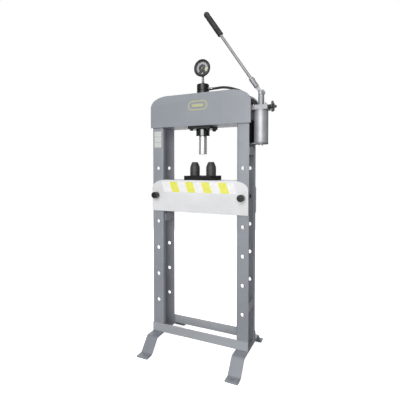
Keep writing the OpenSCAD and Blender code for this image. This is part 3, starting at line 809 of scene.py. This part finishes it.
def cylinder():
    """Cap, gland, barrel and rod as turned pieces, and the return spring."""
    base, r, tall = upright("cylinder_cap")
    tube_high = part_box("cylinder_barrel")[1]
    bore, deep = tube_high.x, tube_high.z - base
    profile = [(bore, 0), (r, 0), (r, 0.030), (r - 0.0012, 0.0312), (r - 0.0012, 0.0330), (r, 0.0342),
        (r, tall - 0.003), (r - 0.003, tall), (0.012, tall), (0.012, tall - 0.0015), (0, tall - 0.0015),
        (0, deep), (bore, deep)]
    dress(turned("cap_turned", profile, (0, 0, base), ease=0.0006), "frame", BLACK,
        ["cylinder_cap"])
    base, r, _ = upright("cylinder_gland")
    tall, bore = 0.040, 0.0237
    profile = [(bore, 0), (r - 0.002, 0), (r, 0.002), (r, tall), (bore, tall)]
    dress(turned("gland_turned", profile, (0, 0, base), ease=0.0006), "frame", GLAND_BLACK,
        ["cylinder_gland"])
    base, r, tall = upright("cylinder_barrel")
    wall = 0.0045
    dress(turned("barrel_turned", rectangle((r - wall, 0), (r, tall)), (0, 0, base)), "frame",
        BLACK, ["cylinder_barrel"])
    base, r, tall = upright("piston_rod")
    profile = [(0, 0.004), (0.005, 0.004), (0.0075, 0), (r - 0.002, 0), (r, 0.002), (r, tall), (0, tall)]
    dress(turned("rod_turned", profile, (0, 0, base), ease=0.0004), "ram", CHROME, ["piston_rod"])
    keep("piston_head", TURNED, 0)
    keep("piston_seal", SEAL, 0)
    keep("rod_wiper", SEAL, 0)
    low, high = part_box("return_spring")
    spring = coil("return_spring_wire", (0, 0), high.x, 0.0014, low.z, high.z, 10)
    dress(spring, "frame", SPRING, ["return_spring"], sharp=60)
    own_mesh(spring)


def seat_bolts():
    """Four hexagon screws with washers under the seat plate."""
    low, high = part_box("seat_bolts")
    parts = []
    for x in (low.x + 0.011, high.x - 0.011):
        for y in (low.y + 0.0095, high.y - 0.0095):
            at = (x, y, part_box("cylinder_seat_plate")[0].z)
            parts += hex_head(0.011, 0.0075, Vector(at) - Vector((0, 0, 0.0016)), (0, 0, -1),
                (0.0125, 0.0016))
            parts.append(turned("shank", rectangle((0, 0), (0.006, 0.035)), at, sides=32))
    dress(joined("seat_bolts_turned", parts), "frame", BLACK, ["seat_bolts"], sharp=30)


cylinder()
seat_bolts()


# ---------------------------------------------------------------- gauge

def arc_band(name, r0, r1, start, end, y0, y1, steps=96):
    """A flat arc on the dial between two radii; angles are in degrees clockwise from straight up."""
    points, faces = [], []
    for i in range(steps + 1):
        a = math.radians(start + (end - start) * i / steps)
        for r in (r0, r1):
            for y in (y0, y1):
                points.append((r * math.sin(a), y, GAUGE_Z + r * math.cos(a)))
    for i in range(steps):
        a, b = 4 * i, 4 * i + 4
        for p, q in ((0, 1), (1, 3), (3, 2), (2, 0)):
            faces.append((a + p, a + q, b + q, b + p))
    faces += [(0, 1, 3, 2), tuple(4 * steps + k for k in (0, 1, 3, 2))]
    return solid_from(name, points, faces)


def dial_numbers(values, radius, height):
    """Small figures round the dial, turned into meshes."""
    parts = []
    for i, value in enumerate(values):
        text = bpy.data.curves.new("figure", "FONT")
        text.body = str(value)
        text.size = height
        text.align_x, text.align_y = "CENTER", "CENTER"
        text.extrude = 0.00010
        text.resolution_u = 3
        holder = bpy.data.objects.new("figure", text)
        mesh = bpy.data.meshes.new_from_object(holder)
        bpy.data.objects.remove(holder)
        bpy.data.curves.remove(text)
        a = math.radians(NEEDLE_REST + 270 * i / (len(values) - 1))
        at = Vector((radius * math.sin(a), DIAL_Y - 0.0002, GAUGE_Z + radius * math.cos(a)))
        mesh.transform(Matrix.Translation(at) @ Matrix.Rotation(math.radians(90), 4, "X"))
        parts.append(link_mesh("figure", mesh))
    return parts


def gauge():
    """Case, rim, printed dial, pointer, window and stem of the pressure gauge."""
    low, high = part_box("gauge_bezel")
    rim = (high.x - low.x) / 2
    front, back = low.y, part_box("gauge_case")[1].y
    depth = high.y - low.y
    profile = [(rim - 0.0110, depth), (rim - 0.0110, depth - 0.002), (rim - 0.0060, depth - 0.002),
        (rim - 0.0060, 0.0030), (rim - 0.0085, 0.0028), (rim - 0.0070, 0.0008), (rim - 0.0045, 0),
        (rim - 0.0015, 0.0006), (rim, 0.0030), (rim, depth - 0.001), (rim - 0.001, depth)]
    dress(turned("gauge_rim", profile, (0, front, GAUGE_Z), (0, 1, 0), 0.0004, 128), "frame",
        GAUGE_BLACK, ["gauge_bezel"])
    body = rim - 0.008
    long = back - high.y
    profile = [(0, long - 0.0030), (body - 0.003, long - 0.0030), (body - 0.003, 0), (body, 0),
        (body, long - 0.005), (body - 0.0015, long - 0.0020), (body - 0.005, long), (0, long)]
    dress(turned("gauge_shell", profile, (0, high.y, GAUGE_Z), (0, 1, 0), 0.0008, 128), "frame",
        GAUGE_BLACK, ["gauge_case"])
    keep("gauge_dial", GAUGE_BLACK, 0)
    up, down = DIAL_Y - 0.0002, DIAL_Y + 0.0002
    scale_r0, scale_r1 = 0.0225, 0.0350
    dress(arc_band("dial_scale", scale_r0, scale_r1, NEEDLE_REST, NEEDLE_REST + 270, up, down), "frame",
        PRINT_GREY)
    dress(arc_band("dial_work_zone", 0.0180, 0.0362, 82, 126, up - 0.0002, down, 40), "frame",
        PRINT_CREAM)
    marks = []
    for i in range(51):
        a = NEEDLE_REST + 270 * i / 50
        inner = scale_r1 - (0.0060 if i % 10 == 0 else 0.0042 if i % 5 == 0 else 0.0026)
        wide = 0.9 if i % 5 == 0 else 0.5
        marks.append(arc_band("mark", inner, scale_r1 - 0.0004, a - wide, a + wide, up - 0.00045, up, 2))
    dress(joined("dial_marks", marks), "frame", PRINT_BLACK)
    figures = joined("dial_figures", dial_numbers([0, 3, 6, 9, 12, 15], 0.0165, 0.0068))
    dress(figures, "frame", PRINT_DIM)
    boss = [(0, 0), (0.0034, 0), (0.0050, 0.0010), (0.0054, 0.0026), (0, 0.0026)]
    dress(turned("dial_zero_stop", boss, (0, DIAL_Y - 0.0024, GAUGE_Z - 0.0305), (0, 1, 0), 0.0003, 48),
        "frame", PLATED)
    pointer()
    low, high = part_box("gauge_glass")
    r = (high.x - low.x) / 2
    dress(turned("gauge_window", rectangle((0, 0), (r, high.y - low.y)), (0, low.y, GAUGE_Z), (0, 1, 0),
        0.0004), "frame", LENS, ["gauge_glass"])
    base, r, tall = upright("gauge_stem")
    profile = [(0, 0), (r - 0.0015, 0), (r - 0.0015, 0.012), (r, 0.012), (r, tall), (0, tall)]
    stem = [turned("stem", profile, (0, 0, base), ease=0.0004, sides=64)]
    stem += hex_head(r * 1.35, 0.010, (0, 0, base + 0.0125), (0, 0, 1))
    dress(joined("gauge_stem_turned", stem), "frame", STEEL_DARK, ["gauge_stem"], sharp=30)


def pointer():
    """Tapered pointer with a round tail and a domed hub."""
    low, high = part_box("gauge_needle")
    y = DIAL_Y - 0.0022
    tip, tail = 0.036, 0.012
    outline = [(-0.0005, tip), (-0.0014, 0.004), (-0.0016, -tail + 0.003), (-0.0028, -tail), (0.0028, -tail),
        (0.0016, -tail + 0.003), (0.0014, 0.004), (0.0005, tip)]
    blade = from_bmesh("blade", plate_mesh(outline, [], 0.0008, 0.0002))
    turn = Matrix.Rotation(math.radians(NEEDLE_REST), 4, "Y") @ Matrix.Rotation(math.radians(90), 4, "X")
    blade.data.transform(Matrix.Translation((0, y, GAUGE_Z)) @ turn)
    long = high.y - low.y
    hub = turned("hub", [(0, 0), (0.0035, 0.0002), (0.005, 0.0008), (0.005, 0.0022), (0.002, 0.0022),
        (0.002, long), (0, long)], (0, low.y, GAUGE_Z), (0, 1, 0), 0.0002, 48)
    dress(joined("pointer", [blade, hub]), "gauge_needle", NEEDLE, ["gauge_needle"])


gauge()


# ---------------------------------------------------------------- hose ends

def hose_ends():
    """Hexagon and crimped ferrule at the cap, rubber bend guard at the pump."""
    low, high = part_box("hose_fitting")
    port_z = (low.z + high.z) / 2
    cap_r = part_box("cylinder_cap")[1].x
    start = cap_r - 0.0005
    parts = hex_head(0.011, 0.009, (start, 0, port_z), (1, 0, 0))
    r, long = 0.0085, high.x - start - 0.009
    profile, w = [(0, 0)], (long - 0.006) / 4
    for i in range(4):
        h = 0.002 + i * w
        profile += [(r, h), (r, h + 0.55 * w), (r - 0.0010, h + 0.65 * w), (r - 0.0010, h + 0.92 * w)]
    profile += [(r, long - 0.002), (r - 0.0008, long), (0, long)]
    parts.append(turned("ferrule", profile, (start + 0.009, 0, port_z), (1, 0, 0), 0.0003, 64))
    dress(joined("hose_fitting_turned", parts), "frame", PLATED, ["hose_fitting"], sharp=30)
    r, bend, x, z, arc, straight = 0.015, 0.024, 0.290, 1.414, math.radians(45), 0.024
    path = [Vector((x + bend * math.cos(a), 0, z + bend * math.sin(a)))
        for a in (arc * k / 24 for k in range(25))]
    ahead = Vector((-math.sin(arc), 0, math.cos(arc)))
    path += [path[-1] + ahead * straight * k / 16 for k in range(1, 17)]
    total = bend * arc + straight

    def ribbed(s):
        end = min(1.0, 0.80 + 0.20 * min(s, total - s) / 0.0025)
        return (r - 0.0006 * (1 + math.cos(2 * math.pi * s / 0.0052)) / 2) * end

    dress(tube("bend_guard", path, ribbed, 48), "frame", RUBBER, ["hose_elbow"], sharp=60)


hose_ends()


# ---------------------------------------------------------------- pump

def pump_body():
    """Bracket and its screws, shelf, tank, block, forked tower and the plunger's spring."""
    # The bracket's black is darkened further to paint in the shade it sits in (painted shade).
    keep("pump_bracket", SHADED_MATT_BLACK, 0.0012)
    keep("pump_shelf", SHELF_GREY, 0.0012)
    keep("reservoir_tie_rod", PLATED, 0)
    keep("pump_plunger", TURNED, 0.0004)
    low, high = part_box("plunger_spring")
    spring = coil("plunger_spring_wire", (PUMP_X, 0), high.x - PUMP_X, 0.0009, low.z, high.z, 5)
    dress(spring, "frame", SPRING, ["plunger_spring"], sharp=60)
    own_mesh(spring)
    parts = []
    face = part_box("pump_bracket")[1].x
    for z in BRACKET_BOLT_Z:
        parts += hex_head(0.0085, 0.0050, (face + 0.0012, BRACKET_BOLT_Y, z), (1, 0, 0), (0.0098, 0.0012))
        parts.append(turned("shank", rectangle((0, 0), (0.005, 0.016)), (face, BRACKET_BOLT_Y, z), (-1, 0, 0),
            sides=32))
    dress(joined("bracket_bolts_turned", parts), "frame", BLACK, ["bracket_bolts"], sharp=30)
    base, r, tall = upright("reservoir")
    wall = 0.003
    profile = [(r - wall, 0), (r - 0.001, 0), (r, 0.001), (r, 0.0035), (r - 0.0010, 0.0048),
        (r - 0.0010, 0.0060), (r - 0.0004, 0.0072), (r - 0.0004, tall - 0.0072), (r - 0.0010, tall - 0.0060),
        (r - 0.0010, tall - 0.0048), (r, tall - 0.0035), (r, tall), (r - wall, tall)]
    dress(turned("tank_turned", profile, (PUMP_X, 0, base), ease=0.0004, sides=128), "frame",
        TANK_SKIN, ["reservoir"])
    keep("pump_block", SILVER, 0.0018)
    base, r, tall = upright("pump_tower")
    profile = [(0, 0), (r, 0), (r, tall - 0.0015), (r - 0.0015, tall), (0, tall)]
    tower = turned("tower_turned", profile, (PUMP_X, 0, base), ease=0.0004, sides=96)
    bore_floor, slot_floor, chamber_r = 0.021, 0.043, 0.0105
    carve(tower, turned("bore", rectangle((0, bore_floor), (chamber_r, tall + 0.01)), (PUMP_X, 0, base),
        ease=0, sides=64))
    slot = from_bmesh("slot", plate_mesh(rectangle((-0.02, slot_floor), (0.02, tall + 0.02)), [], 0.015,
        0.0003))
    slot.data.transform(Matrix.Translation((PUMP_X, 0, base)) @ Matrix.Rotation(math.radians(90), 4, "X"))
    carve(tower, slot)
    dress(tower, "frame", SILVER, ["pump_tower"])


def pump_details():
    """Collar under the tower, cap screws on the block, filler plug with a knurled head."""
    block_low, block_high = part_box("pump_block")
    top = block_high.z
    low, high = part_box("filler_plug")
    x = (low.x + high.x) / 2
    r, tall = 0.005, 0.015

    def knurl(radius, h, angle):
        return radius - 0.0005 * (1 + math.cos(24 * angle)) / 2 if radius > r - 0.0004 else radius

    profile = [(0, -0.008), (0.004, -0.008), (0.004, 0), (r - 0.0004, 0), (r, 0.001), (r, tall - 0.002),
        (r - 0.0015, tall), (0, tall)]
    dress(turned("filler_plug_turned", profile, (x, 0, top), ease=0.0003, sides=144, radius=knurl), "frame",
        STEEL_DARK, ["filler_plug"])
    inset = 0.010
    profile = [(0, 0), (0.0045, 0), (0.0045, 0.0040), (0.0040, 0.0046), (0.0026, 0.0046), (0.0026, 0.0020),
        (0, 0.0020)]
    parts = [turned("screw", profile, (sx, sy, top), ease=0.0002, sides=48)
        for sx in (block_low.x + inset, block_high.x - inset) for sy in (block_low.y + inset, block_high.y
        - inset)]
    parts.append(turned("collar", [(0.0160, 0), (0.0185, 0), (0.0185, 0.003), (0.0175, 0.004),
        (0.0160, 0.004)], (PUMP_X, 0, top), ease=0.0004, sides=96))
    dress(joined("block_screws", parts), "frame", PLATED)


def release_valve():
    """Hexagon body and lobed hand knob of the release valve."""
    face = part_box("pump_block")[1].x
    parts = hex_head(0.014, 0.012, (face, 0, VALVE_Z), (1, 0, 0))
    parts.append(turned("thread", rectangle((0, 0), (0.0065, 0.014)), (face, 0, VALVE_Z), (-1, 0, 0),
        sides=48))
    dress(joined("valve_body_turned", parts), "frame", BLACK, ["valve_body"], sharp=30)
    _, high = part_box("valve_knob")
    knob_x, thick, tip = 0.404, 0.012, high.x
    outer, inner = 0.0305, 0.0195

    def lobes(r, h, angle):
        if r < inner:
            return r
        wave = (1 + math.cos(5 * (angle - math.pi))) / 2
        return inner + (r - inner) * wave ** 0.8

    disc = [(0, 0), (0.017, 0), (inner + 0.001, 0.0005), (outer - 0.002, 0.001), (outer, 0.003),
        (outer, thick - 0.003), (outer - 0.002, thick - 0.001), (inner + 0.001, thick - 0.0005),
        (0.017, thick), (0.0085, thick), (0.008, thick + 0.001), (0.008, tip - knob_x - 0.004),
        (0.005, tip - knob_x), (0, tip - knob_x)]
    knob = turned("knob", disc, (knob_x, 0, VALVE_Z), (1, 0, 0), 0.0004, 160, lobes)
    neck = face + 0.0125
    hub = turned("hub", [(0, -0.0025), (0.0040, -0.0025), (0.0040, 0.0), (0.0095, 0.0), (0.011, 0.0015),
        (0.011, knob_x - neck + 0.001), (0, knob_x - neck + 0.001)], (neck, 0, VALVE_Z), (1, 0, 0), 0.0003,
        64)
    dress(joined("valve_knob_moulded", [knob, hub]), "valve_knob", KNOB, ["valve_knob"])


def on_lever(obj):
    """Moves a shape that stands along +Z at the origin onto the leaning lever."""
    obj.data.transform(Matrix.Translation(PIVOT) @ Matrix.Rotation(-LEVER_LEAN, 4, "Y"))
    return obj


def lever():
    """Eccentric hub with its socket, clamp screw, rod and rubber grip."""
    hub_offset, hub_angle, hub_r, hub_t = 0.007, math.radians(37.5), 0.015, 0.014
    hub_at = PIVOT + Vector((hub_offset * math.cos(hub_angle), -hub_t / 2, hub_offset * math.sin(hub_angle)))
    socket_start, socket_end, socket_r, rod_r = 0.042, 0.104, 0.0135, 0.008
    rod_start, rod_top = socket_start + 0.014, LEVER_LEN - 0.012
    hub = turned("lever_socket_forged", rectangle((0, 0), (hub_r, hub_t)), hub_at, (0, 1, 0), 0.0008, 96)
    outline = [(-0.009, 0), (0.009, 0), (0.009, 0.030), (0.0125, socket_start + 0.006),
        (-0.0125, socket_start + 0.006), (-0.009, 0.030)]
    shank = from_bmesh("shank", plate_mesh(outline, [], 0.011, 0.0012))
    shank.data.transform(Matrix.Rotation(math.radians(90), 4, "X"))
    carve(hub, on_lever(shank), "UNION")
    socket = turned("socket", [(0, socket_start), (socket_r - 0.003, socket_start),
        (socket_r, socket_start + 0.004), (socket_r, socket_end), (rod_r + 0.0006, socket_end),
        (rod_r, socket_end - 0.0008), (rod_r, rod_start), (0, rod_start)], ease=0.0005, sides=96)
    carve(hub, on_lever(socket), "UNION")
    dress(hub, "lever", SILVER, ["lever_socket"], sharp=32)
    low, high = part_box("lever_pin")
    long = high.y - low.y
    half = [(0, 0), (0.0062, 0), (0.0075, 0.0008), (0.0075, 0.0026), (0.005, 0.0026)]
    pin = turned("lever_pin_turned", half + [(r, long - h) for r, h in reversed(half)],
        (PUMP_X, low.y, PIVOT.z), (0, 1, 0), 0.0003, 64)
    dress(pin, "frame", STEEL_DARK, ["lever_pin"])
    screw = turned("screw", [(0, rod_r), (0.003, rod_r), (0.003, socket_r), (0.005, socket_r),
        (0.005, socket_r + 0.0024), (0.0044, socket_r + 0.003), (0.0026, socket_r + 0.003),
        (0.0026, socket_r + 0.0012), (0, socket_r + 0.0012)], (0, 0, socket_end - 0.012), (1, 0, 0), 0.0002,
        64)
    dress(on_lever(screw), "lever", PLATED, ["lever_screw"])
    rod = turned("lever_rod_turned", rectangle((0, rod_start), (rod_r - 0.00005, rod_top)), ease=0.0004,
        sides=64)
    dress(on_lever(rod), "lever", LEVER_STEEL, ["lever_rod"])
    grip_r, start = 0.0165, LEVER_LEN - 0.174
    profile = [(rod_r + 0.0002, start), (grip_r - 0.002, start), (grip_r, start + 0.0025),
        (grip_r, start + 0.010), (grip_r - 0.0014, start + 0.0125)]
    h = start + 0.0150
    while h < LEVER_LEN - 0.040:
        profile += [(grip_r - 0.0014, h), (grip_r - 0.0002, h + 0.0012), (grip_r - 0.0002, h + 0.0040),
            (grip_r - 0.0014, h + 0.0052)]
        h += 0.0070
    profile += [(grip_r - 0.0014, LEVER_LEN - 0.030), (grip_r, LEVER_LEN - 0.027)]
    profile += [(grip_r * math.cos(a), LEVER_LEN - grip_r + grip_r * math.sin(a))
        for a in (math.radians(d) for d in range(0, 90, 10))]
    profile += [(0, LEVER_LEN), (0, rod_top), (rod_r + 0.0002, rod_top)]
    grip = turned("grip_moulded", profile, ease=0.0003, sides=72)
    dress(on_lever(grip), "lever", GRIP, ["lever_grip"], sharp=50)


pump_body()
pump_details()
release_valve()
lever()


# ---------------------------------------------------------------- plain labels

def rounded_corners(low, high, edge):
    """Outline of a rectangle with round corners."""
    corners = []
    for cx, cz, first in ((high[0] - edge, high[1] - edge, 0), (low[0] + edge, high[1] - edge, 90),
            (low[0] + edge, low[1] + edge, 180), (high[0] - edge, low[1] + edge, 270)):
        for d in range(0, 91, 15):
            a = math.radians(first + d)
            corners.append((cx + edge * math.cos(a), cz + edge * math.sin(a)))
    return corners


def label_sheet(name, low, high, y, thin, edge):
    """A thin plate with rounded corners that lies on a face towards -Y."""
    obj = from_bmesh(name, plate_mesh(rounded_corners(low, high, edge), [], thin, thin * 0.3))
    obj.data.transform(Matrix.Translation((0, y - thin / 2, 0)) @ Matrix.Rotation(math.radians(90), 4, "X"))
    return obj


def column_label():
    """Printed label on the left column with three blank fields."""
    low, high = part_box("column_front_left")
    x0, x1, z0, z1 = low.x + 0.008, high.x - 0.010, 1.197, 1.297
    thin, gap, fields = 0.0003, 0.0022, 3
    dress(label_sheet("column_label", (x0, z0), (x1, z1), low.y, thin, 0.003), "frame",
        LABEL_GREY)
    tall = (z1 - z0 - gap) / fields
    for i in range(fields):
        z = z0 + gap + i * tall
        field = label_sheet(f"label_field_{i + 1}", (x0 + gap, z), (x1 - gap, z + tall - gap), low.y - thin,
            thin, 0.002)
        dress(field, "frame", VINYL_LABEL)


def head_badge():
    """Plain badge on the head: an open rounded outline round a bar."""
    low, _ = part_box("head_plate_front")
    x, z, half_w, half_h, line, thin = 0.002, 1.430, 0.060, 0.027, 0.0055, 0.0005
    badge = label_sheet("head_badge", (x - half_w, z - half_h), (x + half_w, z + half_h), low.y, thin, half_h)
    inside = label_sheet("inside", (x - half_w + line, z - half_h + line),
        (x + half_w - line, z + half_h - line), low.y + 0.001, 0.003, half_h - line)
    carve(badge, inside)
    bar = label_sheet("bar", (x - half_w * 0.55, z - 0.007), (x + half_w * 0.55, z + 0.007), low.y, thin,
        0.003)
    dress(joined("head_badge_outline", [badge, bar]), "frame", BADGE_YELLOW)


column_label()
head_badge()


# ---------------------------------------------------------------- floor and light

def camera_only(tree, seen, felt, out):
    """Joins two shaders: one that the camera sees, one that lights the object."""
    path = tree.nodes.new("ShaderNodeLightPath")
    mix = tree.nodes.new("ShaderNodeMixShader")
    tree.links.new(path.outputs["Is Camera Ray"], mix.inputs["Fac"])
    tree.links.new(felt, mix.inputs[1])
    tree.links.new(seen, mix.inputs[2])
    tree.links.new(mix.outputs["Shader"], out.inputs["Surface"])


def pale_floor():
    bm = bmesh.new()
    bmesh.ops.create_grid(bm, x_segments=8, y_segments=8, size=9)
    floor = from_bmesh("floor", bm)
    mat, tree, shader = blank("floor_pale", (0.93, 0.93, 0.93), 0.6)
    tree.links.new(shades(tree, noise(tree, coordinates(tree), 1.5), [(0.925,) * 3, (0.94,) * 3]),
        shader.inputs["Base Color"])
    glow = add_node(tree, "ShaderNodeEmission", Color=(1, 1, 1, 1), Strength=FLOOR_GLOW)
    lit = tree.nodes.new("ShaderNodeAddShader")
    tree.links.new(shader.outputs["BSDF"], lit.inputs[0])
    tree.links.new(glow.outputs["Emission"], lit.inputs[1])
    dull = add_node(tree, "ShaderNodeBsdfDiffuse", Color=(FLOOR_BOUNCE,) * 3 + (1,))
    camera_only(tree, lit.outputs["Shader"], dull.outputs["BSDF"], tree.nodes["Material Output"])
    floor.data.materials.append(mat)


def surroundings():
    """White behind the object, a weak even light around it."""
    world = bpy.data.worlds.new("studio")
    world.use_nodes = True
    tree = world.node_tree
    around = tree.nodes["Background"]
    around.inputs["Color"].default_value = (1, 1, 1, 1)
    around.inputs["Strength"].default_value = AMBIENT
    behind = add_node(tree, "ShaderNodeBackground", Color=(1, 1, 1, 1), Strength=1.0)
    camera_only(tree, behind.outputs["Background"], around.outputs["Background"], tree.nodes["World Output"])
    scene.world = world


def lamp(name, at, towards, size, power):
    data = bpy.data.lights.new(name, "AREA")
    data.shape = "SQUARE"
    data.size = size
    data.energy = power
    obj = bpy.data.objects.new(name, data)
    obj.location = at
    obj.rotation_euler = (Vector(towards) - Vector(at)).to_track_quat("-Z", "Y").to_euler()
    scene.collection.objects.link(obj)


pale_floor()
surroundings()
lamp("key", (0.55, -3.4, 2.0), (0, 0, 1.0), 3.0, KEY_POWER)
lamp("top", (0, -0.5, 3.4), (0, 0, 1.0), 1.6, TOP_POWER)
lamp("fill", (-1.2, 3.4, 1.8), (0, 0, 1.0), 3.0, FILL_POWER)
scene.view_settings.view_transform = "Standard"
